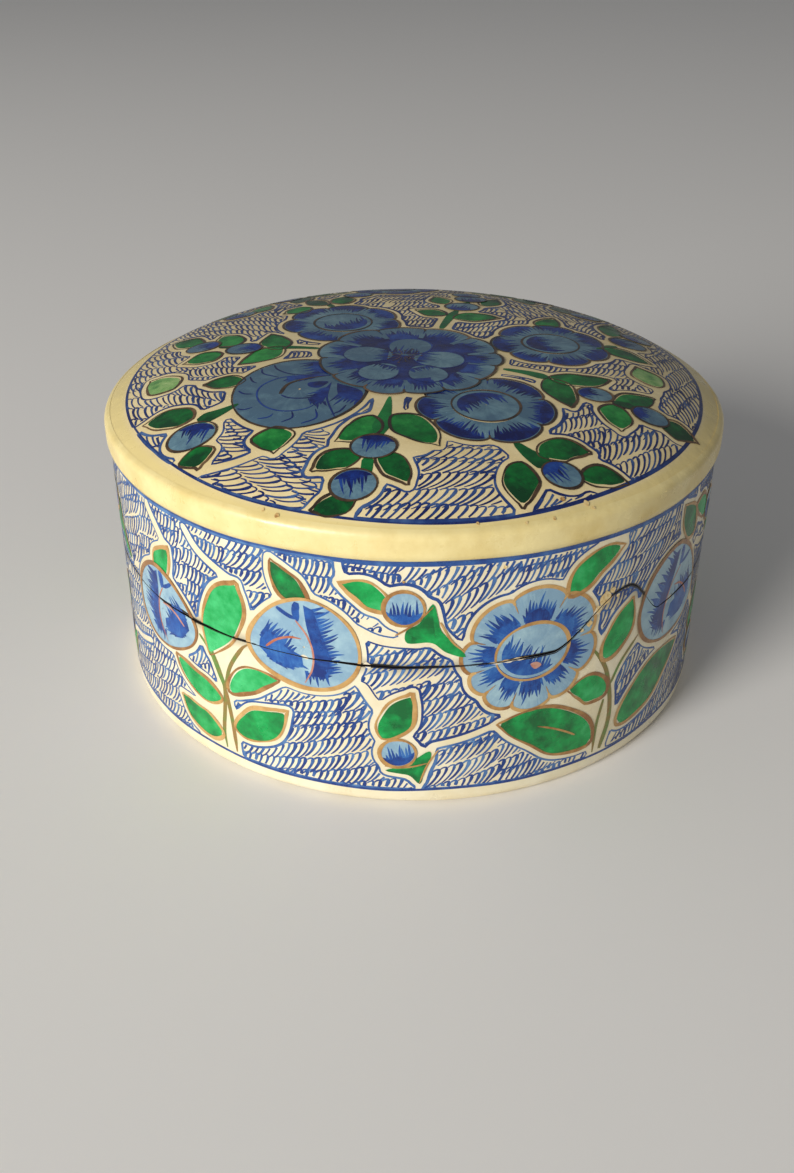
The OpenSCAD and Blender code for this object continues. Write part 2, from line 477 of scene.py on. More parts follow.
class Sheet:
    """One colour of paint on one surface: flat points, how high they lie, and how the brush ran."""

    def __init__(self, lift):
        self.lift = lift
        self.points = []
        self.lifts = []
        self.runs = []
        self.faces = []
        self.count = 0
        self.shapes = 0

    def lay(self, grid, closed=False, high=0.0):
        """Adds a shape from rows of points along the brush's way. Closed joins the last row to the first.
        Shapes that follow each other lie a stagger apart, so that they can cross."""
        rows, columns = grid.shape
        along = np.repeat(np.linspace(0, 1, rows), columns)
        across = np.tile(np.linspace(0, 1, columns), rows)
        self.points.append(grid.ravel())
        self.lifts.append(np.full(grid.size, self.lift + high + STAGGER * (self.shapes % 5)))
        self.runs.append(np.stack([along, across, np.full(grid.size, brush_rng.random())], -1))
        index = np.arange(grid.size).reshape(rows, columns) + self.count
        if closed:
            index = np.vstack([index, index[:1]])
        quads = np.stack([index[:-1, :-1], index[1:, :-1], index[1:, 1:], index[:-1, 1:]], -1)
        quads = quads.reshape(-1, 4)
        p = grid.ravel()[quads - self.count]
        turn = ((p[:, 2] - p[:, 0]) * np.conj(p[:, 3] - p[:, 1])).imag
        quads[turn > 0] = quads[turn > 0][:, ::-1]
        self.faces.append(quads)
        self.count += grid.size
        self.shapes += 1


def smooth(points, closed=False, steps=6):
    """A brush's curve through given points."""
    p = np.array([complex(*q) if isinstance(q, tuple) else q for q in points])
    if closed:
        q = np.concatenate([p[-1:], p, p[:2]])
    else:
        q = np.concatenate([[2 * p[0] - p[1]], p, [2 * p[-1] - p[-2]]])
    t = np.arange(steps) / steps
    parts = [0.5 * (2 * b + (c - a) * t + (2 * a - 5 * b + 4 * c - d) * t ** 2
                    + (3 * b - a - 3 * c + d) * t ** 3)
             for a, b, c, d in zip(q, q[1:], q[2:], q[3:])]
    curve = np.concatenate(parts)
    return curve if closed else np.append(curve, p[-1])


def spaced(curve, gap, closed=False):
    """The same curve with its points a steady distance apart."""
    line = np.append(curve, curve[0]) if closed else curve
    run = np.concatenate([[0], np.cumsum(np.abs(np.diff(line)))])
    at = np.linspace(0, run[-1], max(int(run[-1] / gap), 2) + 1)
    even = np.interp(at, run, line.real) + 1j * np.interp(at, run, line.imag)
    return even[:-1] if closed else even


def sides(curve, half, closed=False):
    """Left and right edges of a stroke along the curve, and its middle."""
    way = np.roll(curve, -1) - np.roll(curve, 1) if closed else np.gradient(curve)
    way = way / np.maximum(np.abs(way), 1e-9)
    return np.stack([curve + 1j * way * half, curve, curve - 1j * way * half], -1)


def stroke(sheet, points, width, tail=0.35, head=0.6, high=0.0):
    """A brush stroke: it lands at a share head of its width and lifts off at a share tail."""
    curve = spaced(np.asarray(points, complex), 0.7)
    t = np.linspace(0, 1, len(curve))
    press = np.minimum(1, np.minimum(head + 5 * t, tail + (1 - t) * 3))
    first, last = width if isinstance(width, tuple) else (width, width)
    sheet.lay(sides(curve, press * (first + (last - first) * t) / 2), high=high)


def line_round(sheet, outline, width, high=0.0, sway=0.3):
    """An outline drawn all round, thick and thin as the brush turns."""
    curve = spaced(outline, 0.8, closed=True)
    t = np.linspace(0, 2 * np.pi, len(curve), endpoint=False)
    press = 1 + sway * np.sin(t + brush_rng.random() * 6) + 0.14 * np.sin(5 * t)
    sheet.lay(sides(curve, press * width / 2, closed=True), closed=True, high=high)


def fill_round(sheet, outline, rings, high=0.0):
    """A filled shape, laid in rings from its edge to its middle."""
    centre = outline.mean()
    share = np.linspace(1, 0.02, rings + 1)
    sheet.lay(centre + (outline - centre)[:, None] * share[None, :], closed=True, high=high)


def fill_between(sheet, one, other, columns=4, high=0.0):
    """A filled shape between two edges that run the same way."""
    count = max(len(one), len(other))

    def paced(edge):
        t, own = np.linspace(0, 1, count), np.linspace(0, 1, len(edge))
        return np.interp(t, own, edge.real) + 1j * np.interp(t, own, edge.imag)

    a, b = paced(one), paced(other)
    sheet.lay(a[:, None] + (b - a)[:, None] * np.linspace(0, 1, columns + 1)[None, :], high=high)


def comb(sheet, edge, way, length, pitch=0.62, width=0.62, high=0.0):
    """A fringe of tapered strokes from an edge. The way is a direction for each point, or one for all."""
    roots = spaced(edge, pitch)
    ways = np.broadcast_to(np.asarray(way, complex), (len(edge),))
    own = np.linspace(0, 1, len(edge))
    at = np.linspace(0, 1, len(roots))
    lead = np.interp(at, own, ways.real) + 1j * np.interp(at, own, ways.imag)
    lead = lead / np.maximum(np.abs(lead), 1e-9)
    for root, to in zip(roots, lead):
        reach = length * (0.35 + 0.85 * brush_rng.random())
        sway = (brush_rng.random() - 0.5) * 0.4
        t = np.linspace(0, 1, 5)
        curve = root - 0.3 * to + (reach + 0.3) * to * (t + 1j * sway * t ** 2)
        sheet.lay(sides(curve, width / 2 * (1 - t) ** 0.7 + 0.03), high=high)


def placed(centre, turn=0.0, size=1.0, mirror=False):
    """Puts a motif drawn round 0 where it stands, turned, sized and mirrored."""
    spin = size * np.exp(1j * math.radians(turn))

    def put(points):
        flat = np.asarray(points, complex)
        return centre + (-np.conj(flat) if mirror else flat) * spin

    return put


class Surface:
    """One painted surface: its sheets of colour, and the shapes that the hatching keeps clear of."""

    def __init__(self, paints, line):
        self.sheets = {name: Sheet(lift) for name, lift in paints.items()}
        self.line = line
        self.clear = []

    def __getitem__(self, name):
        return self.sheets[name]

    def keep(self, shape, margin, closed=True):
        self.clear.append((spaced(np.asarray(shape, complex), 0.5, closed), margin, closed))


# How high each colour lies above the ground. The buds and all that lies over other motifs go on top.
LIFTS = {"hatch": 0.03, "stem": 0.035, "petal": 0.045, "leaf": 0.05, "sage": 0.05, "blade": 0.055,
         "deep": 0.06, "accent": 0.075, "outline": 0.085, "flake": 0.095, "gesso": 0.1, "gap_shade_and_dirt": 0.11}
ON_TOP = 0.07


def leaf(surface, base, tip, width, bow=0.0, margin=1.3, belly=0.45, vein=False, paint="leaf"):
    """A pointed leaf from its stalk to its tip, widest at belly, with its outline a little off it."""
    base, tip = complex(*base), complex(*tip)
    t = np.linspace(0.02, 0.985, 19)
    spine = base + (tip - base) * (t + 1j * bow * np.sin(np.pi * t))
    half = width / 2 * np.sin(np.pi * t ** (math.log(0.5) / math.log(belly))) ** 0.7
    way = np.gradient(spine)
    way /= np.abs(way)
    uneven_left, uneven_right = brush_rng.uniform(0.85, 1.12, 2)
    left = spine + 1j * way * half * uneven_left * (1 + 0.07 * np.sin(9 * t + uneven_left * 40))
    right = spine - 1j * way * half * uneven_right * (1 + 0.07 * np.sin(9 * t + uneven_right * 40))
    fill_between(surface[paint], left, right, columns=max(3, int(width / 1.5)))
    slip = 0.32 * np.exp(1j * brush_rng.uniform(0, 2 * np.pi))
    drawn = np.concatenate([left + 1j * way * 0.28, [tip + way[-1] * 0.9], (right - 1j * way * 0.28)[::-1],
                            [base - way[0] * 0.2]]) + slip
    line_round(surface["outline"], drawn, surface.line, sway=0.4)
    surface.keep(drawn, margin)
    if vein:
        stroke(surface["outline"], spine[4:13] + 0.3, 0.4)


def stem(surface, points, width, paint):
    curve = smooth(points)
    stroke(surface[paint], curve, width)
    widest = max(width) if isinstance(width, tuple) else width
    surface.keep(curve, 1.0 + widest / 2, closed=False)


def lane(surface, points, half):
    """A strip of bare ground that leads from one motif to the next."""
    surface.keep(smooth(points), half, closed=False)


def bud(surface, centre, radius, facing, squash, margin=1.4, cap_reach=1.4):
    """A round bud: pale, with a deep cap on the side it faces, combed towards the other side."""
    c = complex(*centre)
    turns = np.linspace(0, 2 * np.pi, 30, endpoint=False)

    def rounded(at):
        return c + radius * (np.cos(at) + 1j * squash * np.sin(at))

    edge = rounded(turns)
    fill_round(surface["petal"], edge, rings=3, high=ON_TOP)
    a = math.radians(facing)
    swing = np.linspace(-cap_reach, cap_reach, 12)
    cap = c + (rounded(a + swing) - c) * 0.96
    near = c + (cap - c) * (1 - 0.74 * np.cos(swing * 1.52 / cap_reach))
    fill_between(surface["deep"], cap, near, columns=3, high=ON_TOP)
    comb(surface["deep"], near[1:-1], -np.exp(1j * a), radius * 0.75, pitch=0.6, width=0.55, high=ON_TOP)
    drawn = c + (edge - c) * 1.05 + 0.12 * np.exp(1j * brush_rng.uniform(0, 6))
    line_round(surface["outline"], drawn, surface.line, high=ON_TOP)
    surface.keep(drawn, margin)


def petal_ring(surface, put, inner, notches, reach, notch_r, dark="inner", depth=0.42, high=0.0,
               parted="deep"):
    """A ring of scalloped petals round a middle, parted at the notches. Inner gives the middle's radius at
    an angle. Each petal's dark part lies at its inner or outer end and is combed towards the other."""
    rim = []
    u = np.linspace(0, 1, 19)
    for start, end in zip(notches, notches[1:] + [notches[0] + 360]):
        angles = np.radians(start + (end - start) * u)
        bulge = reach * (0.97 + 0.06 * brush_rng.random())
        outer = notch_r + (bulge - notch_r) * np.sin(np.pi * u) ** 0.6
        near = inner(angles)
        ray = np.exp(1j * angles)
        fill_between(surface["petal"], put(near * ray), put(outer * ray), columns=5, high=high)
        lean = brush_rng.uniform(-0.5, 0.5)
        swell = np.sin(np.pi * np.clip((u - 0.05) / 0.9, 0, 1)) ** 0.6 * (1 + lean * (2 * u - 1)) * depth
        if dark == "inner":
            back, front = put(near * ray), put((near + (outer - near) * swell) * ray)
            way = front - put(0)
        else:
            back, front = put((outer - 0.15) * ray), put((outer - (outer - near) * swell) * ray)
            way = put(0) - front
        fill_between(surface["deep"], back, front, columns=3, high=high)
        comb(surface["deep"], front[2:-2], way[2:-2], (bulge - near.mean()) * 0.42, high=high)
        split = put(np.linspace(notch_r * 0.97, near[0] + 0.55 * (notch_r - near[0]), 4) * ray[0])
        stroke(surface[parted], split, (0.34, 0.14), high=high)
        drawn = put((outer + 0.3) * ray)
        drawn_from_notch = np.concatenate([[put(notch_r * 0.95 * ray[0])], drawn])
        stroke(surface["outline"], drawn_from_notch, surface.line * 1.15, tail=0.7, high=high)
        rim.append(drawn)
    surface.keep(np.concatenate(rim), 1.4)


def heart(surface, centre, wide, tall, shaded, comb_way):
    """A pale oval heart, with a deep crescent on its shaded side, combed across it."""
    turns = np.linspace(0, 2 * np.pi, 44, endpoint=False)
    edge = centre + wide * np.cos(turns) + 1j * tall * np.sin(turns)
    fill_round(surface["petal"], edge, rings=4)
    a = math.radians(shaded)
    swing = np.linspace(-1.45, 1.45, 20)
    far = centre + 0.84 * (wide * np.cos(a + swing) + 1j * tall * np.sin(a + swing))
    near = centre + (far - centre) * (1 - 0.62 * np.cos(swing * 1.08))
    fill_between(surface["deep"], far, near, columns=3)
    comb(surface["deep"], near[1:-1], np.exp(1j * math.radians(comb_way)), wide * 0.5)
    line_round(surface["outline"], edge, surface.line * 0.95)


# The wall's drawing. A plant of broad leaves stands on the lower line five times round the girth, with a
# bloom on each side of it, and buds between each pair of blooms. Two plants alternate.
wall = Surface(LIFTS, 0.62)
PLANTS = 5
PITCH = 2 * math.pi * WALL_R / PLANTS
FIRST_PLANT = -37.5


def folded_bloom(centre, turn=0.0, size=1.0, mirror=False):
    """A bloom of two petals: a pale one in front, and one behind it with a deep combed shadow between."""
    put = placed(complex(*centre), turn, size, mirror)
    deep = wall["deep"]

    def line(*points):
        return put(smooth(points))

    back = smooth([1 + 9.5j, -4 + 7.7j, -8 + 3.7j, -10 - 0.8j, -8.3 - 4.5j, -4 - 7j, 1 - 8j, 6 - 7j,
                   9.2 - 4j, 10.2 + 0j, 9 + 4.7j, 5.5 + 8.2j], closed=True)
    fill_round(wall["petal"], put(back), rings=6, high=ON_TOP)
    fold = line(0.8 + 8.6j, 1.2 + 4.8j, 2 + 1.4j, 2.4 - 0.8j, 2.3 - 3j, 1.6 - 4.8j, 1.2 - 5.4j)
    beyond = line(2.6 + 7.9j, 3.5 + 4.5j, 4.5 + 1.4j, 5.2 - 0.8j, 5.1 - 3j, 4.4 - 4.9j, 3.8 - 5.5j)
    fill_between(deep, fold, beyond, columns=3, high=ON_TOP)
    comb(deep, beyond, put(2.4 + 1.1j) - put(0), 3.0 * size, high=ON_TOP)
    comb(deep, line(1.0 - 4.9j, 2.6 - 5.5j, 4.6 - 5.0j), put(0.2 - 2.6j) - put(0), 2.0 * size, high=ON_TOP)
    flame_low = line(-8 - 1.8j, -5.4 - 3.9j, -2.6 - 4.4j, 0.4 - 3.4j)
    flame_high = line(-7.8 - 0.2j, -6.6 + 1.9j, -4.6 + 1.4j, -2.4 - 0.5j, 0.2 - 1.7j)
    fill_between(deep, flame_low, flame_high, columns=3, high=ON_TOP)
    comb(deep, flame_high[2:-4], put(1.1 + 1.5j) - put(0), 2.9 * size, high=ON_TOP)
    comb(deep, flame_low[4:-1], put(1.6 - 0.5j) - put(0), 2.0 * size, high=ON_TOP)
    stroke(deep, line(-4.2 + 7.2j, -2 + 6j, -0.2 + 5.6j), 0.8, tail=0.2, high=ON_TOP)
    stroke(deep, line(-0.4 + 8.9j, -0.7 + 7j, -0.3 + 5.2j), 1.4, tail=0.2, high=ON_TOP)
    accent = wall["accent"]
    stroke(accent, line(-0.7 + 5.3j, 1.3 + 2.6j, 2.3 - 0.8j, 2 - 4.2j, 0.6 - 7.2j), 0.36, high=ON_TOP)
    stroke(accent, line(-6.6 - 1.3j, -4.5 + 0.6j, -2 + 1.7j, 0.2 + 1.8j), 0.45, high=ON_TOP)
    drawn = put(back * 1.03)
    line_round(wall["outline"], drawn, wall.line * 1.25, high=ON_TOP)
    wall.keep(drawn, 1.4)


class Plant:
    """The wall's brushes, set down at a plant's own place along the girth."""

    def __init__(self, s):
        self.s = s

    def at(self, x, z):
        return (self.s + x, z)

    def path(self, *points):
        return [self.at(*p) for p in points]

    def leaf(self, base, tip, width, bow=0.0, **more):
        leaf(wall, self.at(*base), self.at(*tip), width, bow, **more)

    def stem(self, *points, width=0.9):
        stem(wall, self.path(*points), width, "stem")

    def lane(self, *points, half=1.0):
        lane(wall, self.path(*points), half)

    def bud(self, centre, radius, facing, squash):
        bud(wall, self.at(*centre), radius, facing, squash=squash)

    def cup(self, *points):
        """A green cup with pointed lobes."""
        shape = spaced(smooth(self.path(*points), closed=True, steps=4), 0.6, closed=True)
        fill_round(wall["leaf"], shape, rings=3, high=ON_TOP)
        wall.keep(shape, 1.1)

    def line(self, *points):
        stroke(wall["outline"], smooth(self.path(*points)), 0.35, high=ON_TOP)


def first_plant(plant):
    """The plant left of the front, with a two-petalled bloom on each side of it."""
    plant.stem((-1.5, 25), (0.2, 20.5), (0.9, 17.5), (0.5, 13), (-0.1, 8), (0.3, 4))
    plant.stem((1.1, 17.5), (2.1, 11), (2.7, 4))
    plant.stem((1.0, 17.5), (2.5, 23), (5.5, 28), (7.0, 29.4), width=0.8)
    plant.stem((-4.5, 27.5), (-2.0, 24.5), (0.7, 18), width=0.6)
    plant.leaf((-2.2, 24.4), (4.9, 41.2), 8.2, 0.03, belly=0.58)
    plant.leaf((0.3, 15.0), (-11.6, 19.2), 5.3, 0.1)
    plant.leaf((-0.7, 6.8), (-11.6, 10.5), 4.8, 0.08)
    plant.leaf((2.4, 17.6), (12.8, 23.6), 4.8, 0.1)
    plant.leaf((2.9, 9.2), (13.8, 16.6), 6.4, -0.06)
    plant.leaf((-16.8, 34.8), (-12.2, 41.8), 4.8)
    plant.lane((-17.5, 48.6), (-14.0, 44.5), (-12.6, 42.5), half=1.1)
    plant.lane((-6.2, 48.6), (-2.8, 45.0), (4.2, 41.6))
    folded_bloom(plant.at(-14.8, 27.8), 6, 0.93, mirror=True)
    folded_bloom(plant.at(17.5, 31.8))
    plant.leaf((18.7, 41.0), (12.5, 47.6), 4.8, 0.08)


def second_plant(plant):
    """The plant right of the front: broad low leaves, a scalloped rose, and a round bloom."""
    plant.stem((-0.8, 4), (0.8, 10), (0.4, 16), (-1.2, 22), (-3.5, 26), (-6.0, 29), width=(1.2, 0.8))
    plant.stem((0.3, 18.5), (2.5, 22.5), (6.6, 26.5), width=0.7)
    plant.stem((-1.1, 15.5), (-2.2, 10), (-2.5, 3.8), width=0.7)
    plant.leaf((-2.3, 25.0), (3.6, 35.4), 6.0, -0.05)
    plant.leaf((-1.0, 17.0), (-9.4, 20.9), 5.4, -0.1)
    plant.leaf((-3.6, 6.6), (-22.9, 16.4), 9.0, -0.08, vein=True)
    plant.leaf((3.5, 8.0), (22.4, 17.9), 8.6, 0.05)
    plant.leaf((-11.4, 40.6), (-1.0, 47.4), 5.4, 0.12)
    plant.leaf((24.5, 40.3), (18.3, 48.0), 5.4)
    plant.lane((-1.3, 47.2), (-0.2, 49.2), half=1.1)
    wide, tall = 6.7, 5.6

    def oval(angles):
        return wide * tall / np.sqrt((tall * np.cos(angles)) ** 2 + (wide * np.sin(angles)) ** 2)

    petal_ring(wall, placed(complex(*plant.at(-17.4, 31.2))), oval,
               [4, 60, 112, 163, 196, 222, 252, 290, 324], reach=12.4, notch_r=11.1, parted="outline")
    heart(wall, complex(*plant.at(-17.4, 31.0)), 6.9, 5.8, shaded=232, comb_way=72)
    spot = smooth(plant.path((-17.8, 28.5), (-16.6, 28.7), (-15.7, 27.9), (-16.9, 27.3)), closed=True)
    fill_round(wall["accent"], spot, rings=2)
    folded_bloom(plant.at(17.6, 30.2), -12, 1.08, mirror=True)


def buds_between(plant):
    """The two bud sprays between the blooms of neighbouring plants."""
    plant.leaf((32.6, 41.2), (25.0, 45.7), 4.2, -0.08)
    plant.bud((35.4, 41.5), 3.25, 270, 0.98)
    plant.cup((40.1, 42.6), (41.1, 39.5), (41.8, 37), (46, 31.9), (42.6, 32.9), (40, 35), (36, 34.9),
              (35.8, 37.4), (38, 38.9))
    plant.line((34, 36.4), (37, 38.6), (40.2, 42))
    plant.line((41.4, 39), (43.4, 35.2), (45.6, 32.9))
    plant.leaf((32.0, 14.4), (36.8, 23.7), 5.6)
    plant.bud((34.5, 11.6), 3.1, 285, 0.95)
    plant.cup((32.3, 7.6), (36, 9.0), (39.9, 12.0), (40.3, 10.3), (39.3, 7.5), (38.5, 4.6), (36.7, 6.5),
              (34.5, 7.0))
    plant.line((41.6, 12.2), (39.8, 9.0), (38.4, 4.8))
    plant.line((32.2, 8.6), (36, 8.4), (40, 9.4))
    plant.lane((25.2, 45.5), (24.5, 49.0), half=0.9)
    plant.lane((28.4, 25.4), (30.4, 22.0), (32.6, 19.5), half=1.1)
    plant.lane((27.5, 37.0), (31.5, 35.2), (38.0, 34.6))
    plant.lane((40.5, 13.2), (46.5, 14.6), (52.8, 17.0), half=0.9)


for plant_index in range(PLANTS):
    plant = Plant(FIRST_PLANT + PITCH * ((plant_index + 2) % PLANTS - 2))
    if plant_index % 2 == 0:
        first_plant(plant)
    else:
        second_plant(plant)
    buds_between(plant)

# The crown's drawing. One great flower fills the middle, five blooms stand round it, and sprays of leaves
# and buds run out between them to the border line.
crown = Surface(LIFTS, 0.42)
OVER_ALL = 0.12
ROUND = np.linspace(0, 2 * np.pi, 36, endpoint=False)


def round_middle(radius):
    return lambda angles: np.full(len(angles), radius)


def great_flower(centre):
    """The flower on top of all: an outer ring of petals, five drop-shaped ones, and dark threads."""
    put = placed(centre)
    petal_ring(crown, put, round_middle(10.6), [10, 43, 78, 112, 146, 180, 212, 240, 266, 292, 320, 347],
               reach=17.3, notch_r=16.3, depth=0.45, high=OVER_ALL)
    fill_round(crown["deep"], put(11.4 * np.exp(1j * ROUND)), rings=6, high=OVER_ALL - 0.004)
    knot = -1.0 + 1.2j
    for middle, radius, reach in ((-8.4 + 1.8j, 4.1, 0.5), (0.3 + 6.4j, 4.1, 1.0), (6.2 - 0.9j, 4.2, 0.7),
                                  (3.5 - 8.5j, 3.6, 0.5), (-5.8 - 7.6j, 3.7, 0.5)):
        inward = np.angle(knot - middle)
        pull = 1 + 0.3 * np.clip(np.cos(ROUND - inward), 0, 1) ** 4
        drop = middle + radius * pull * np.exp(1j * ROUND)
        fill_round(crown["petal"], put(drop), rings=4, high=OVER_ALL + 0.02)
        line_round(crown["deep"], put(middle + (drop - middle) * 1.03), 0.26, high=OVER_ALL + 0.02)
        across = middle + radius * np.exp(1j * inward) * (1 + 1j * np.linspace(-0.6, 0.6, 8))
        comb(crown["deep"], put(across), put(middle) - put(knot), radius * reach, pitch=0.5, width=0.5,
             high=OVER_ALL + 0.02)
    for turn in np.linspace(0, 2 * np.pi, 17, endpoint=False):
        reach = (1.8 + 1.8 * brush_rng.random()) * np.exp(1j * turn)
        stroke(crown["outline"], put(knot + reach * np.linspace(0.25, 1, 4)), 0.2, high=OVER_ALL)
        dot = knot + reach * 1.08 + 0.24 * np.exp(1j * ROUND[::4])
        fill_round(crown["outline"], put(dot), rings=1, high=OVER_ALL)


def rose_in_bud(centre):
    """A rose seen from the side: petals wrapped round each other, drawn with thin arcs."""
    deep = crown["deep"]
    edge = centre + 12.0 * np.cos(ROUND) + 13.5j * np.sin(ROUND)
    fill_round(crown["petal"], edge, rings=8)
    for arc in ([(-22.2, -16.3), (-25.6, -17.5), (-28.2, -20.5), (-28.4, -24.4), (-26.6, -28.2),
                 (-23.2, -30.4), (-19.3, -30.1), (-17.0, -27.6)],
                [(-26.4, -10.9), (-25.6, -13.1), (-23.2, -15.4), (-20.2, -16.2)],
                [(-28.6, -12.5), (-28.1, -14.7), (-25.1, -16.8)],
                [(-30.5, -15.7), (-29.9, -17.7), (-29.0, -18.6)],
                [(-32.1, -21.1), (-31.0, -22.5), (-29.3, -23.0)],
                [(-31.6, -27.7), (-30.4, -28.4), (-28.9, -27.9)],
                [(-27.6, -32.0), (-25.7, -31.9), (-25.0, -30.9)],
                [(-23.3, -33.9), (-21.5, -32.8), (-21.7, -30.7)],
                [(-19.8, -34.9), (-17.3, -33.5), (-17.6, -30.4)],
                [(-15.6, -22.1), (-15.7, -27.1), (-14.0, -33.9)],
                [(-12.3, -29.5), (-13.3, -31.6), (-14.8, -32.6)]):
        stroke(deep, smooth(arc), 0.34, high=0.01)
    lip = smooth([(-24.3, -23.9), (-23.5, -20.8), (-22.2, -19.2), (-19.3, -17.7), (-15.8, -16.8)])
    stroke(crown["outline"], lip, (0.8, 0.3))
    fold = smooth([(-24.1, -24.3), (-22.5, -25.7), (-19.3, -26.1), (-16.8, -24.6), (-15.4, -21.6)])
    stroke(deep, fold, 0.4)
    pocket = [(-19.4, -19.8), (-17.0, -19.3), (-15.8, -19.8), (-17.4, -22.1), (-19.2, -21.5)]
    fill_round(deep, smooth(pocket, closed=True), rings=3)
    fill_between(deep, smooth([(-15.3, -20.0), (-16.8, -23.5), (-19.2, -26.9)]),
                 smooth([(-15.2, -20.0), (-15.6, -24.1), (-16.4, -28.1)]))
    comb(deep, smooth([(-18.8, -26.6), (-17.6, -27.9), (-16.2, -28.1)]), 0.2 - 1j, 2.2)
    comb(deep, smooth([(-16.4, -22.5), (-17.8, -25.1)]), -1 - 0.25j, 2.4)
    fill_between(deep, smooth([(-14.2, -20.4), (-14.1, -23.2), (-13.8, -25.6)]),
                 smooth([(-14.0, -20.4), (-9.7, -23.9), (-9.8, -28.4)]))
    comb(deep, smooth([(-13.8, -25.6), (-11.9, -27.0), (-9.8, -28.2)]), -0.5 - 1j, 3.4)
    fill_between(deep, smooth([(-19.2, -9.8), (-18.8, -12.7), (-17.2, -15.9)]),
                 smooth([(-15.4, -9.6), (-15.0, -13.0), (-15.8, -16.0)]))
    comb(deep, smooth([(-19.2, -10.2), (-18.8, -12.7), (-17.4, -15.5)]), -1 - 0.35j, 2.4)
    fill_between(deep, smooth([(-23.7, -16.8), (-19.8, -16.0), (-15.6, -16.4)]),
                 smooth([(-23.3, -18.0), (-19.8, -17.8), (-15.6, -16.8)]), columns=2)
    comb(deep, smooth([(-23.3, -17.8), (-18.8, -17.8)]), -0.7 - 1j, 1.8)
    line_round(crown["outline"], centre + (edge - centre) * 1.02, crown.line * 1.1)
    crown.keep(centre + (edge - centre) * 1.03, 1.4)


great_flower(-1.0 - 8.0j)
rose_in_bud(-20.9 - 22.4j)
for flower_at, size, notches, shaded in (
        (12.3 - 29.0j, 0.97, [18, 85, 165, 213, 270, 328], 130),
        (-14.4 + 13.0j, 0.94, [10, 62, 110, 165, 215, 270, 320], 300),
        (26.9 + 1.6j, 0.9, [0, 55, 105, 160, 215, 262, 312], 200),
        (-4.0 + 44.6j, 0.78, [25, 85, 140, 200, 255, 310], 300)):
    petal_ring(crown, placed(flower_at, 0, size), round_middle(6.4), notches, reach=12.5, notch_r=10.9,
               dark="outer", depth=0.44)
    heart(crown, flower_at, 6.3 * size, 6.0 * size, shaded, comb_way=shaded + 170)


def spray(stems, leaves, buds):
    """A spray on the crown: its green blades, its leaves, and the buds over them."""
    for points, width in stems:
        stem(crown, points, width, "blade")
    for shape in leaves:
        leaf(crown, *shape, margin=1.25)
    for centre, radius, facing in buds:
        bud(crown, centre, radius * 0.87, facing, margin=1.3, squash=0.8, cap_reach=1.05)


# Front
spray(stems=[([(-4.6, -26.3), (-5.2, -31.9), (-6.6, -39.9)], (0.6, 3.8)),
             ([(-8.1, -45.3), (-8.4, -49.4)], 2.0)],
      leaves=[((-7.8, -33.2), (-13.2, -40.2), 5.2, 0.14), ((-4.4, -33.4), (3.0, -41.8), 6.4, 0.05),
              ((-9.3, -45.3), (-16.7, -47.1), 4.8, -0.12), ((-6.4, -44.9), (-1.6, -50.9), 5.0, 0.08),
              ((-10.2, -53.9), (-16.8, -55.2), 3.8), ((-24.6, -35.4), (-24.3, -41.7), 6.8)],
      buds=[((-7.2, -42.5), 4.3, 75), ((-10.3, -51.1), 4.3, 95)])
# Left front
spray(stems=[([(-31.6, -26.0), (-35.0, -28.0), (-38.6, -29.2)], (0.7, 4.2))],
      leaves=[((-39.3, -27.6), (-48.4, -24.8), 5.0, -0.05), ((-37.9, -36.5), (-37.2, -41.2), 5.8),
              ((-31.7, -16.8), (-38.9, -16.3), 5.0)],
      buds=[((-39.2, -33.3), 4.9, 68)])
# Left
spray(stems=[([(-18.4, -2.6), (-22.7, -1.8), (-26.8, -1.4)], (1.0, 2.0)),
             ([(-35.7, 0.6), (-38.6, 2.0)], 1.2)],
      leaves=[((-26.0, -2.3), (-28.2, 6.4), 5.6), ((-26.2, -1.0), (-33.2, -8.8), 5.6, 0.05),
              ((-34.9, 1.5), (-38.5, 8.6), 5.0), ((-37.3, -1.9), (-44.1, -3.4), 5.4),
              ((-42.6, 5.6), (-49.2, 13.8), 5.0)],
      buds=[((-33.2, -0.8), 3.9, 12), ((-42.0, 3.7), 3.8, 0)])
# Right
spray(stems=[([(16.5, -12.9), (21.1, -14.5), (25.0, -16.7)], (1.0, 3.0)),
             ([(35.6, -23.8), (39.6, -23.4)], 2.4)],
      leaves=[((24.9, -15.7), (36.0, -14.3), 5.2, -0.1), ((24.3, -16.8), (27.4, -27.3), 5.6),
              ((36.1, -23.7), (44.0, -18.5), 4.8), ((35.5, -24.0), (36.0, -31.7), 5.2),
              ((43.8, -27.6), (50.0, -28.0), 5.0, 0.1)],
      buds=[((32.7, -21.6), 3.7, 160), ((42.2, -25.4), 3.8, 170)])
# Right front
spray(stems=[([(16.5, -40.6), (18.9, -43.3), (22.1, -45.5)], (1.2, 4.4))],
      leaves=[((20.7, -43.1), (29.2, -40.2), 5.0, 0.14), ((17.2, -45.1), (16.9, -53.7), 5.4, -0.03),
              ((27.2, -46.6), (34.8, -44.9), 4.4, 0.12)],
      buds=[((23.9, -46.7), 3.8, 140)])
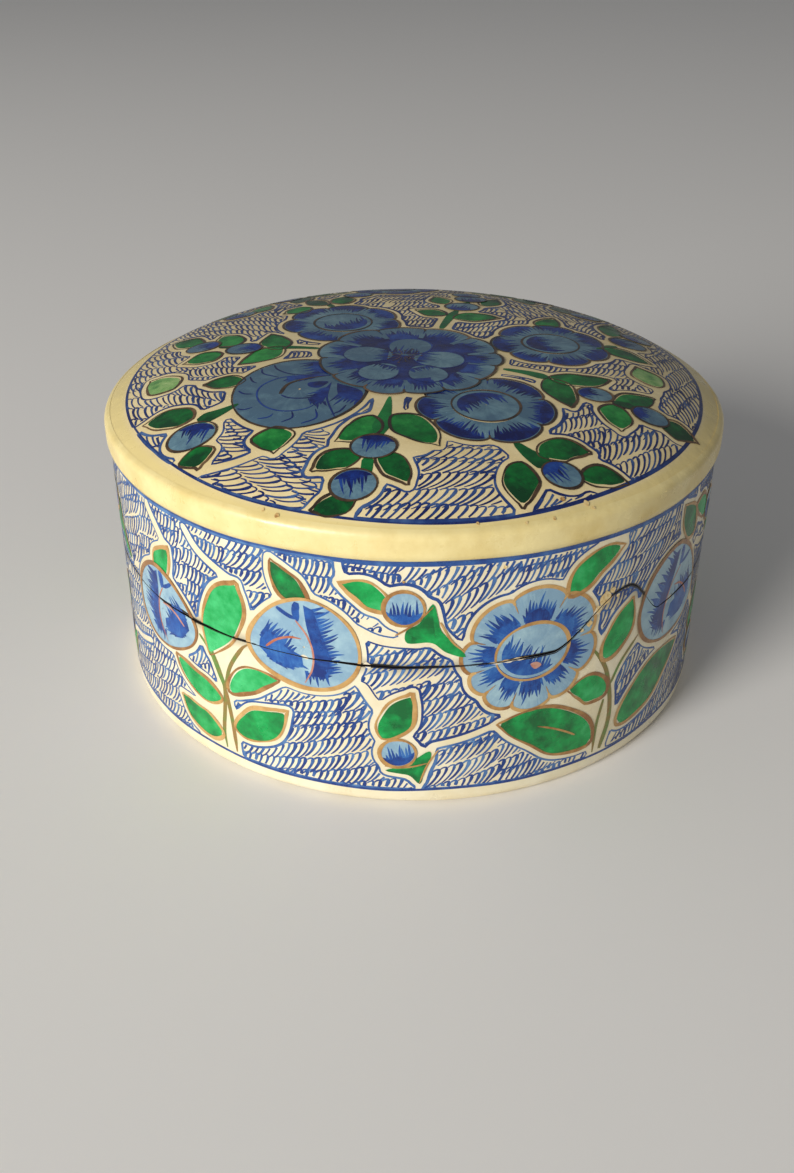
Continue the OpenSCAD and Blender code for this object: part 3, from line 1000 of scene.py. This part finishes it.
# Back
spray(stems=[([(5.6, 9.2), (7.2, 15.0), (9.2, 21.0)], (1.2, 2.4)),
             ([(36.2, 0.4), (38.6, 3.2), (40.6, 4.4)], 1.6),
             ([(-17.0, 24.4), (-18.6, 27.6)], 1.4), ([(10.8, 25.0), (12.0, 28.0)], 1.6)],
      leaves=[((6.9, 17.8), (1.0, 20.8), 4.8), ((8.4, 16.2), (17.4, 16.6), 4.8, 0.06),
              ((26.4, 10.8), (29.2, 18.0), 5.2), ((37.4, 2.0), (46.0, -1.6), 4.6),
              ((40.4, 11.4), (41.6, 21.4), 5.2), ((-21.6, 24.8), (-26.6, 21.2), 4.6),
              ((-18.6, 25.8), (-23.0, 31.4), 4.8), ((-15.4, 26.6), (-14.6, 33.6), 5.0),
              ((15.4, 25.4), (18.6, 31.6), 4.8), ((7.0, 26.2), (4.8, 31.8), 4.4)],
      buds=[((43.4, 8.0), 4.2, 200), ((46.4, 14.0), 3.6, 230), ((10.6, 23.8), 4.0, 250),
            ((12.8, 30.6), 3.8, 270)])
# Far side, which the photograph doesn't show. Its two halves mirror each other.
for side in (-1, 1):
    spray(stems=[([(side * 13.5, 40.0), (side * 19.0, 38.6), (side * 24.0, 38.0)], (1.0, 2.2))],
          leaves=[((side * x, y), (side * tip_x, tip_y), width) for x, y, tip_x, tip_y, width in (
              (19.6, 38.4, 22.6, 46.4, 5.2), (24.0, 38.0, 25.4, 30.6, 5.0), (31.6, 38.6, 36.6, 42.4, 4.6),
              (33.6, 25.4, 31.2, 32.0, 5.0), (41.6, 27.6, 40.2, 34.0, 4.8), (13.0, 50.6, 20.0, 49.4, 4.6))],
          buds=[((side * 28.4, 37.6), 3.8, 270), ((side * 37.2, 25.4), 3.8, 250),
                ((side * 12.0, 35.0), 3.4, 270)])
# Bare lanes join the sprays to the border line and to each other.
for way in ([(-38.2, -42.6), (-31.2, -42.8), (-25.7, -41.4)], [(-52.4, -25.3), (-48.0, -24.7)],
            [(16.9, -53.5), (16.6, -57.2)], [(-38.4, -15.9), (-42.3, -13.8), (-45.2, -12.9)],
            [(-33.0, -8.8), (-29.9, -9.5), (-26.6, -9.1)], [(2.5, -42.0), (1.1, -44.0), (-1.4, -44.6)],
            [(44.0, -18.1), (45.7, -14.7), (45.5, -12.0)],
            [(-33.2, -28.0), (-34.6, -31.0), (-34.4, -34.0)]):
    lane(crown, way, 1.0)
# Two sage-green leaves stand alone at the sides.
for base, tip, width in ((-45.3, -14.9), (-50.6, -8.1), 6.6), ((45.9, -12.5), (43.2, -5.6), 6.0):
    leaf(crown, base, tip, width, paint="sage")

# The border line goes round them all.
border_turns = np.linspace(0, 2 * np.pi, 240, endpoint=False)
border_wander = 0.25 * np.sin(3 * border_turns) + 0.12 * np.sin(8 * border_turns)
border = BORDER_AT + (BORDER_R + border_wander) * np.exp(1j * border_turns)
line_round(crown["hatch"], border, 0.55)


# Hatching. Between the motifs the ground is filled with rows of hooked blue strokes like fish scales. Each
# patch has its own lean and is edged with a blue line, and a margin of bare cream is left round the motifs.
FIELD_STEP = 0.25
WIDE_OPEN = 9.0


class Field:
    """How far each spot of a flat surface lies outside everything that the hatching keeps clear of."""

    def __init__(self, low, high, around=math.inf):
        self.low = complex(*low)
        self.around = around
        self.wide = int((high[0] - low[0]) / FIELD_STEP) + 1
        self.tall = int((high[1] - low[1]) / FIELD_STEP) + 1
        x = low[0] + FIELD_STEP * np.arange(self.wide)
        y = low[1] + FIELD_STEP * np.arange(self.tall)
        self.spots = x[:, None] + 1j * y[None, :]
        self.room = np.full(self.spots.shape, WIDE_OPEN)

    def keep_clear(self, shape, margin, closed):
        """Lowers the room round a shape, and inside it if it is closed."""
        reach = margin + 2.5
        i = int((shape.real.min() - reach - self.low.real) / FIELD_STEP)
        j = int((shape.imag.min() - reach - self.low.imag) / FIELD_STEP)
        m = int((shape.real.max() + reach - self.low.real) / FIELD_STEP) + 1
        n = int((shape.imag.max() + reach - self.low.imag) / FIELD_STEP) + 1
        i, j, m, n = max(i, 0), max(j, 0), min(m, self.wide), min(n, self.tall)
        if i >= m or j >= n:
            return
        spots = self.spots[i:m, j:n]
        away = np.full(spots.shape, 99.0)
        for point in shape:
            np.minimum(away, np.abs(spots - point), out=away)
        if closed:
            within = np.zeros(spots.shape, bool)
            for a, b in zip(shape, np.roll(shape, -1)):
                if a.imag == b.imag:
                    continue
                spans = (a.imag > spots.imag) != (b.imag > spots.imag)
                crossing = a.real + (spots.imag - a.imag) * (b.real - a.real) / (b.imag - a.imag)
                within ^= spans & (spots.real < crossing)
            away[within] *= -1
        self.room[i:m, j:n] = np.minimum(self.room[i:m, j:n], away - margin)

    def at(self, points):
        """The room at any points, between the spots too."""
        x = np.clip(np.mod(points.real - self.low.real, self.around) / FIELD_STEP, 0, self.wide - 1.001)
        y = np.clip((points.imag - self.low.imag) / FIELD_STEP, 0, self.tall - 1.001)
        i, j = x.astype(int), y.astype(int)
        u, v = x - i, y - j
        r = self.room
        return ((r[i, j] * (1 - u) + r[i + 1, j] * u) * (1 - v)
                + (r[i, j + 1] * (1 - u) + r[i + 1, j + 1] * u) * v)

    def edges(self):
        """The lines round the patches, each as a run of points and whether it closes."""
        inside = self.room > 0
        i, j = np.nonzero((inside[:-1, :-1] != inside[1:, :-1]) | (inside[:-1, :-1] != inside[:-1, 1:])
                          | (inside[1:, 1:] != inside[1:, :-1]) | (inside[1:, 1:] != inside[:-1, 1:]))
        spots, links = {}, {}
        for a, b in zip(i.tolist(), j.tolist()):
            rim = (((a, b), (a + 1, b)), ((a + 1, b), (a + 1, b + 1)), ((a, b + 1), (a + 1, b + 1)),
                   ((a, b), (a, b + 1)))
            crossed = []
            for one, two in rim:
                if inside[one] != inside[two]:
                    share = self.room[one] / (self.room[one] - self.room[two])
                    spots[one, two] = self.spots[one] + share * (self.spots[two] - self.spots[one])
                    crossed.append((one, two))
            for k in range(0, len(crossed) - 1, 2):
                links.setdefault(crossed[k], []).append(crossed[k + 1])
                links.setdefault(crossed[k + 1], []).append(crossed[k])
        lines, used = [], set()
        ends = [key for key, others in links.items() if len(others) == 1]
        for start in ends + list(links):
            if start in used:
                continue
            run, key = [], start
            while key is not None and key not in used:
                used.add(key)
                run.append(spots[key])
                key = next((other for other in links[key] if other not in used), None)
            closed = len(run) > 3 and abs(run[0] - run[-1]) < 3 * FIELD_STEP
            lines.append((np.array(run), closed))
        return lines


SHORTEST_EDGE = 8.0
EDGE_WIDTH = 0.46


def softened(run, closed, reach=3):
    """The same line with its small steps rounded off."""
    if closed:
        return np.mean([np.roll(run, k) for k in range(-reach, reach + 1)], axis=0)
    padded = np.concatenate([run[:1].repeat(reach), run, run[-1:].repeat(reach)])
    return np.mean([padded[k:k + len(run)] for k in range(2 * reach + 1)], axis=0)


def edge_patches(surface, field):
    """Draws a line round each patch of hatching, and gives up the patches too small to hatch."""
    for run, closed in field.edges():
        if np.abs(np.diff(run)).sum() < SHORTEST_EDGE:
            field.room[np.abs(field.spots - run.mean()) < SHORTEST_EDGE / 4] = -1
            continue
        if closed:
            line_round(surface["hatch"], softened(run, True), EDGE_WIDTH)
        else:
            stroke(surface["hatch"], softened(run, False), EDGE_WIDTH, tail=0.9, head=0.9)


# Rows lie ROW_H apart. A zone is its middle, the turn of its rows, the direction in which its strokes fall,
# the side of their hooks (-1 for left, 1 for right), and how far it reaches.
ROW_H = 3.1
BOW = 0.09
LEAST_STROKE = 3


def scale_stroke(pitch, row_turn, fall, side):
    """One hooked stroke, round its corner: a short bar along the row, and a bowed fall to the row below."""
    way = np.exp(1j * math.radians(row_turn))
    down = np.exp(1j * math.radians(fall))
    length = 1.02 * ROW_H / abs(math.sin(math.radians(fall - row_turn)))
    bar = [(-side * pitch * back + 1j * up) * way for back, up in ((0.95, -0.08), (0.5, 0.2), (0.1, 0.12))]
    t = np.array([0.1, 0.34, 0.62, 0.84, 1.0])
    return smooth(bar + list(down * length * (t + side * 1j * BOW * 4 * t * (1 - t))), steps=2)


def hatch_zone(surface, field, zones, chosen, gap, width):
    """Fills the spots nearest to one zone's middle with its own rows of strokes."""
    middle, row_turn, fall, side, reach = zones[chosen]
    pitch = gap / abs(math.sin(math.radians(fall - row_turn)))
    middles = np.array([zone[0] for zone in zones])
    turn = np.exp(1j * math.radians(row_turn))
    shape = scale_stroke(pitch, row_turn, fall, side)
    press = np.interp(np.arange(len(shape)), [0, 3, 6, 8, 12, 14], [0.6, 0.85, 1.5, 1.0, 0.8, 0.4])
    rows = int(reach / ROW_H) + 1
    across = int(reach / pitch) + 1
    for row in range(-rows, rows + 1):
        shift = brush_rng.random()
        bent = 0.25 * brush_rng.standard_normal()
        for step in range(-across, across + 1):
            x = (step + shift + 0.2 * (brush_rng.random() - 0.5)) * pitch
            y = (row + 0.07 * (brush_rng.random() - 0.5)) * ROW_H
            y += 0.35 * math.sin(x / 5.0 + row * 1.3) + bent
            size = 0.94 + 0.12 * brush_rng.random()
            weight = 0.75 + 0.5 * brush_rng.random()
            curve = middle + complex(x, y) * turn + shape * size
            away = middles - curve[8]
            if field.around < math.inf:
                away -= np.round(away.real / field.around) * field.around
            if np.argmin(np.abs(away)) != chosen:
                continue
            free = np.concatenate([[False], field.at(curve) > 0.05, [False]])
            starts = np.flatnonzero(free[1:] & ~free[:-1])
            ends = np.flatnonzero(free[:-1] & ~free[1:])
            for first, last in zip(starts, ends):
                if last - first >= LEAST_STROKE:
                    surface["hatch"].lay(sides(curve[first:last], press[first:last] * width * weight / 2))


GIRTH = 2 * math.pi * WALL_R
HATCH_LOW = 3.4
HATCH_HIGH = 49.8
wall_field = Field((-GIRTH / 2, HATCH_LOW - 1), (GIRTH / 2, 50.9), GIRTH)
wall_field.room = np.minimum(wall_field.room, wall_field.spots.imag - HATCH_LOW)
wall_field.room = np.minimum(wall_field.room, HATCH_HIGH - wall_field.spots.imag)
for shape, margin, closed in wall.clear:
    for round_by in (-GIRTH, 0, GIRTH):
        wall_field.keep_clear(shape + round_by, margin, closed)
edge_patches(wall, wall_field)
wall_zones = []
for index in range(PLANTS):
    s = FIRST_PLANT + PITCH * (index - 2)
    for dx, z, row_turn, fall, reach in (
            (-15, 42, 8, 248, 30), (0, 44, -4, 248, 24), (-16, 10, 10, 240, 24), (20, 12, 16, 240, 26),
            (34, 29, 14, 236, 18), (45, 21, 12, 236, 16), (22, 46, -4, 250, 18), (48, 45, 24, 240, 22),
            (46, 9, 14, 237, 20), (82, 44, 3, 232, 20), (2, 24, 26, 250, 14)):
        around = (s + dx + GIRTH / 2) % GIRTH - GIRTH / 2
        wall_zones.append((complex(around, z), row_turn, fall, 1, reach))
for chosen in range(len(wall_zones)):
    hatch_zone(wall, wall_field, wall_zones, chosen, gap=0.93, width=0.44)

crown_field = Field((-60, -60), (60, 60))
crown_field.room = np.minimum(crown_field.room, BORDER_R - 0.1 - np.abs(crown_field.spots - BORDER_AT))
for shape, margin, closed in crown.clear:
    crown_field.keep_clear(shape, margin, closed)
edge_patches(crown, crown_field)
crown_zones = [
    (-25 - 46j, -50, 167, 1, 28), (-35 - 36j, -60, 165, 1, 18), (5 - 49j, 3, 219, 1, 30),
    (39 - 37j, 38, 255, 1, 24), (26 - 33j, 30, 262, 1, 18), (27 - 51j, 30, 235, 1, 18),
    (49 - 20j, 62, 280, 1, 22), (-47 - 20j, -33, 290, -1, 24), (-40 - 9j, -20, 285, -1, 18),
    (-24 - 5j, 5, 260, 1, 12), (-50 + 3j, -35, 290, -1, 24), (-37 + 16j, -30, 290, -1, 28),
    (-2 - 31j, 10, 240, 1, 8), (-21 + 32j, 20, 250, 1, 20), (10 + 16j, 10, 250, 1, 16),
    (0 + 42j, 0, 240, -1, 26), (28 + 28j, -30, 290, -1, 26), (46 + 16j, -60, 250, -1, 24),
    (50 - 4j, 60, 277, 1, 18), (33 - 10j, 5, 245, 1, 16), (-40 + 32j, -40, 280, -1, 22),
    (40 + 34j, 30, 250, 1, 22)]
for chosen in range(len(crown_zones)):
    hatch_zone(crown, crown_field, crown_zones, chosen, gap=0.9, width=0.37)

# Two blue lines round the wall close the hatching, a thin one above the foot and a broad one under the band.
LOWER_LINE = 3.15
UPPER_LINE = 50.1
way_round = np.linspace(-GIRTH / 2, GIRTH / 2, 480)
lower_line = LOWER_LINE + 0.12 * np.sin(way_round / 9) + 0.08 * np.sin(way_round / 3.7)
upper_line = UPPER_LINE + 0.12 * np.sin(way_round / 12 + 1) + 0.1 * np.sin(way_round / 4.3)
stroke(wall["hatch"], way_round + 1j * lower_line, 0.5, tail=1, head=1)
stroke(wall["hatch"], way_round + 1j * upper_line, 0.95, tail=1, head=1)

# Wear and painted shade at the saw cut. The edges are chipped to the white gesso in places. A broken black
# line along them is partly dirt from handling and partly painted shade of the gap between base and lid.
for edge, side, seed in ((base_top - EASE, -1, BASE_SAW), (lid_low + EASE, 1, LID_SAW)):
    for start in np.arange(-GIRTH / 2, GIRTH / 2 - 1, 7.0):
        run = start + np.arange(0, 7.01, 0.5)
        depth = 0.03 + 0.1 * np.clip(np.sin(run / 3.1 + seed) + 0.6 * np.sin(run / 1.3), 0, 1)
        for smudge, reach, most in ((-47, 4, 0.5), (-24.5, 3, 0.4), (-4, 7, 0.16), (20, 5, 0.2),
                                    (44, 8, 0.22)):
            depth = depth + most * np.exp(-((run - smudge) / reach) ** 2)
        cut = run + 1j * (edge + tooth(run) + saw_wander(run, seed))
        fill_between(wall["gap_shade_and_dirt"], cut, cut + 1j * side * depth, columns=1)
    for start, end, deep_mm in ((12.4, 19.6, 0.32), (-21.5, -18.6, 0.5), (-9, -7.6, 0.5),
                                (31.4, 36.4, 1.1), (52, 55, 0.6), (88, 93, 0.8), (-96, -90, 0.7),
                                (-140, -133, 0.9), (150, 156, 0.6)):
        run = np.linspace(start, end, 14)
        bite = np.sin(np.linspace(0, np.pi, 14)) ** 0.6 * (0.5 + 0.5 * np.sin(run * 2.9 + side))
        cut = run + 1j * (edge + tooth(run) + saw_wander(run, seed))
        fill_between(wall["gesso"], cut, cut + 1j * side * deep_mm * bite, columns=2, high=0.02)


# Flaked spots: the paint has lifted to brown and gold left of the tooth, and the varnish has blistered on
# the rim.
def flaked_spot(surface, centre, radius):
    turns = np.linspace(0, 2 * np.pi, 12, endpoint=False)
    edge = centre + radius * (0.75 + 0.4 * brush_rng.random(12)) * np.exp(1j * turns)
    fill_round(surface["flake"], edge, rings=2, high=ON_TOP)


for spot, radius in ((34.6 + 37.8j, 1.4), (33.2 + 36.2j, 0.8), (36.1 + 39.2j, 0.6), (31.4 + 33.9j, 0.7),
                     (29.8 + 33.0j, 0.5), (37.4 + 37.6j, 0.4), (14.4 + 48.7j, 0.35), (-2.2 + 46.8j, 0.25)):
    flaked_spot(wall, spot, radius)
for spot, radius in ((27.6 - 51.4j, 0.55), (28.8 - 51.9j, 0.3), (23.6 - 51.7j, 0.45), (22.0 - 55.4j, 0.3),
                     (17.4 - 56.9j, 0.25), (-22.6 - 54.9j, 0.4), (-25.0 - 53.4j, 0.3), (9.5 - 58.0j, 0.25),
                     (40.6 + 41.0j, 0.5), (-47.0 + 34.0j, 0.4)):
    flaked_spot(crown, spot, radius)


# The paints, as they lie under the varnish. Each is thin and uneven: it pools at the end of a stroke and
# thins where the brush was dry, which the run of the brush carried by each shape tells.
def paint_material(name, thin, full, pooled, cloud, hairs=0.0):
    """A paint's three colours, the size of its clouds, and how much the brush's hairs show in it."""
    material, nodes, links = new_material(name)
    shader = under_varnish(nodes, links)
    place = in_millimetres(nodes, links)
    run = nodes.new("ShaderNodeAttribute")
    run.attribute_name = "brush"
    parts = nodes.new("ShaderNodeSeparateXYZ")
    links.new(run.outputs["Vector"], parts.inputs["Vector"])
    level = noise(nodes, links, place, cloud, 5.0, 0.6)
    shares = [(parts.outputs["Z"], 0.4), (parts.outputs["X"], 0.14)]
    if hairs:
        combed = nodes.new("ShaderNodeMapping")
        combed.inputs["Scale"].default_value = (26, 1.5, 40)
        links.new(run.outputs["Vector"], combed.inputs["Vector"])
        along_hairs = noise(nodes, links, combed.outputs["Vector"], 1.0, 2.0, 0.55)
        shares = [(parts.outputs["Z"], 0.3), (along_hairs, hairs)]
    for value, share in shares:
        more = nodes.new("ShaderNodeMath")
        more.operation = "MULTIPLY_ADD"
        more.inputs[1].default_value = share
        links.new(value, more.inputs[0])
        links.new(level, more.inputs[2])
        level = more.outputs[0]
    colour = ramp(nodes, links, level, (0.36, thin), (0.72, full), (0.98, pooled))
    links.new(colour, shader.inputs["Base Color"])
    return material


paints = {
    "hatch": ("deep_blue", "hatch_blue", (100, 142, 188), (46, 88, 152), (24, 54, 122), 0.3),
    "stem": ("leaf_green", "stem_green", (160, 166, 90), (92, 138, 62), (150, 116, 62), 0.3),
    "petal": ("petal_blue", "petal_blue", (186, 210, 216), (160, 192, 204), (134, 168, 190), 0.25, 0.5),
    "leaf": ("leaf_green", "leaf_green", (76, 204, 126), (0, 158, 74), (0, 98, 44), 0.3),
    "blade": ("leaf_green", "blade_green", (20, 130, 60), (0, 96, 42), (0, 58, 26), 0.3),
    "sage": ("leaf_green", "sage_green", (186, 206, 140), (126, 170, 96), (60, 124, 62), 0.5),
    "deep": ("deep_blue", "deep_blue", (70, 132, 192), (28, 84, 162), (12, 44, 116), 0.3, 0.3),
    "accent": ("outline_brown", "accent_orange", (206, 160, 140), (188, 124, 104), (176, 96, 60), 0.5),
    "outline": ("outline_brown", "outline_ochre", (216, 178, 116), (188, 144, 84), (146, 100, 54), 0.35),
    "flake": ("gesso_white", "flaked_gold", (246, 230, 184), (226, 194, 130), (168, 122, 68), 1.6),
    "gesso": ("gesso_white", "bare_gesso", (244, 240, 228), (228, 216, 188), (196, 164, 112), 0.8),
    # Painted shade with dirt: the black strip along the saw cut stands partly for the shade in the gap
    # between base and lid.
    "gap_shade_and_dirt": ("black_lacquer", "cut_shade_and_dirt", (58, 44, 34), (24, 19, 16), (14, 12, 11), 0.8),
}
# The crown's paints are darker copies of the wall's: partly a deeper colour of their own, and partly painted
# shade for the dimmer light on the crown.
crown_paints = {
    "petal": ("petal_slate", (128, 158, 168), (98, 131, 146), (74, 104, 126), 0.22, 0.5),
    "deep": ("deep_ink", (40, 86, 160), (14, 46, 124), (4, 16, 76), 0.3, 0.3),
    "hatch": ("hatch_ink", (80, 112, 158), (34, 60, 118), (16, 32, 88), 0.3),
    "leaf": ("leaf_deep", (50, 160, 70), (0, 106, 42), (0, 58, 26), 0.3),
    "outline": ("outline_umber", (128, 96, 62), (80, 60, 42), (46, 36, 30), 0.5),
}


def flat_mesh(name, sheet):
    """The gathered shapes of one colour, still flat, with the height above the ground as z."""
    points = np.concatenate(sheet.points)
    mesh = bpy.data.meshes.new(name)
    flat = np.stack([points.real, points.imag, np.concatenate(sheet.lifts)], -1) * MM
    mesh.from_pydata(flat.tolist(), [], np.concatenate(sheet.faces).tolist())
    runs = mesh.attributes.new("brush", "FLOAT_VECTOR", "POINT")
    runs.data.foreach_set("vector", np.concatenate(sheet.runs).ravel())
    piece = bpy.data.objects.new(name, mesh)
    bpy.context.scene.collection.objects.link(piece)
    return piece


def laid_on_wall(flat):
    s, z, lift = flat.T
    r = band_radius(z) - uneven(s, z) + lift
    turn = s / WALL_R
    return np.stack([r * np.sin(turn), -r * np.cos(turn), z], -1)


def laid_on_crown(flat):
    x, y, lift = flat.T
    return np.stack([x, y, crown_z(np.hypot(x, y)) - crown_uneven(x, y) + lift], -1)


def trimmed(piece, height, keep_above):
    """The flat piece's points, trimmed along the saw cut. The tooth is taken out first and put back."""
    seed = LID_SAW if keep_above else BASE_SAW
    flat = corners(piece)
    flat[:, 1] -= tooth(flat[:, 0]) + saw_wander(flat[:, 0], seed)
    set_corners(piece, flat)
    take_up(piece)
    bpy.ops.object.mode_set(mode="EDIT")
    bpy.ops.mesh.select_all(action="SELECT")
    bpy.ops.mesh.bisect(plane_co=(0, height * MM, 0), plane_no=(0, 1, 0), clear_inner=keep_above,
                        clear_outer=not keep_above, threshold=1e-8)
    bpy.ops.object.mode_set(mode="OBJECT")
    flat = corners(piece)
    flat[:, 1] += tooth(flat[:, 0]) + saw_wander(flat[:, 0], seed)
    return flat


def varnished(piece, laid, material, body):
    """Lays a painted sheet on its surface, in its own material."""
    set_corners(piece, laid)
    finish(piece, material)
    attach(piece, body)


# A colour that lies all below or all above the cut leaves one trimmed sheet empty, and that one is dropped.
for colour_name, (slot, *look) in paints.items():
    paint = paint_material(*look)
    for body, above, height in (("base", False, base_top - EASE), ("lid", True, lid_low + EASE)):
        if wall[colour_name].points:
            piece = flat_mesh(f"{body}_wall_{colour_name}", wall[colour_name])
            flat = trimmed(piece, height, above)
            if len(flat):
                varnished(piece, laid_on_wall(flat), paint, body)
            else:
                bpy.data.objects.remove(piece)
    if crown[colour_name].points:
        piece = flat_mesh(f"crown_{colour_name}", crown[colour_name])
        # Painted shade in part: the crown takes its darker copies of the paints.
        if colour_name in crown_paints:
            paint = paint_material(*crown_paints[colour_name])
        varnished(piece, laid_on_crown(corners(piece)), paint, "lid")


# Floor: a plain pale sheet, which isn't part of the box.
bpy.ops.object.select_all(action="DESELECT")
bpy.ops.mesh.primitive_plane_add(size=6, location=(0, 0, -0.0002))
floor = bpy.context.object
floor.name = "floor"
floor_material, floor_nodes, _ = new_material("floor")
floor_shader = floor_nodes["Principled BSDF"]
floor_shader.inputs["Base Color"].default_value = colour_of(243, 240, 236)
floor_shader.inputs["Roughness"].default_value = 0.7
floor.data.materials.append(floor_material)

# Light: one broad soft lamp to the left and in front, like a window, and an even fill from all round.
world = bpy.data.worlds.new("studio")
bpy.context.scene.world = world
world.use_nodes = True
world.node_tree.nodes["Background"].inputs["Color"].default_value = (0.95, 0.97, 1.0, 1)
world.node_tree.nodes["Background"].inputs["Strength"].default_value = 0.2
WINDOW_AT = Vector((-1.07, -1.16, 0.60))
BOX_MIDDLE = Vector((0, 0, 0.03))
window = bpy.data.lights.new("window", "AREA")
window.shape = "DISK"
window.size = 0.75
window.energy = 30.0
window.color = (1.0, 0.98, 0.94)
window_light = bpy.data.objects.new("window", window)
bpy.context.scene.collection.objects.link(window_light)
window_light.location = WINDOW_AT
window_light.rotation_euler = (BOX_MIDDLE - WINDOW_AT).to_track_quat("-Z", "Y").to_euler()

bpy.context.scene.view_settings.view_transform = "Standard"
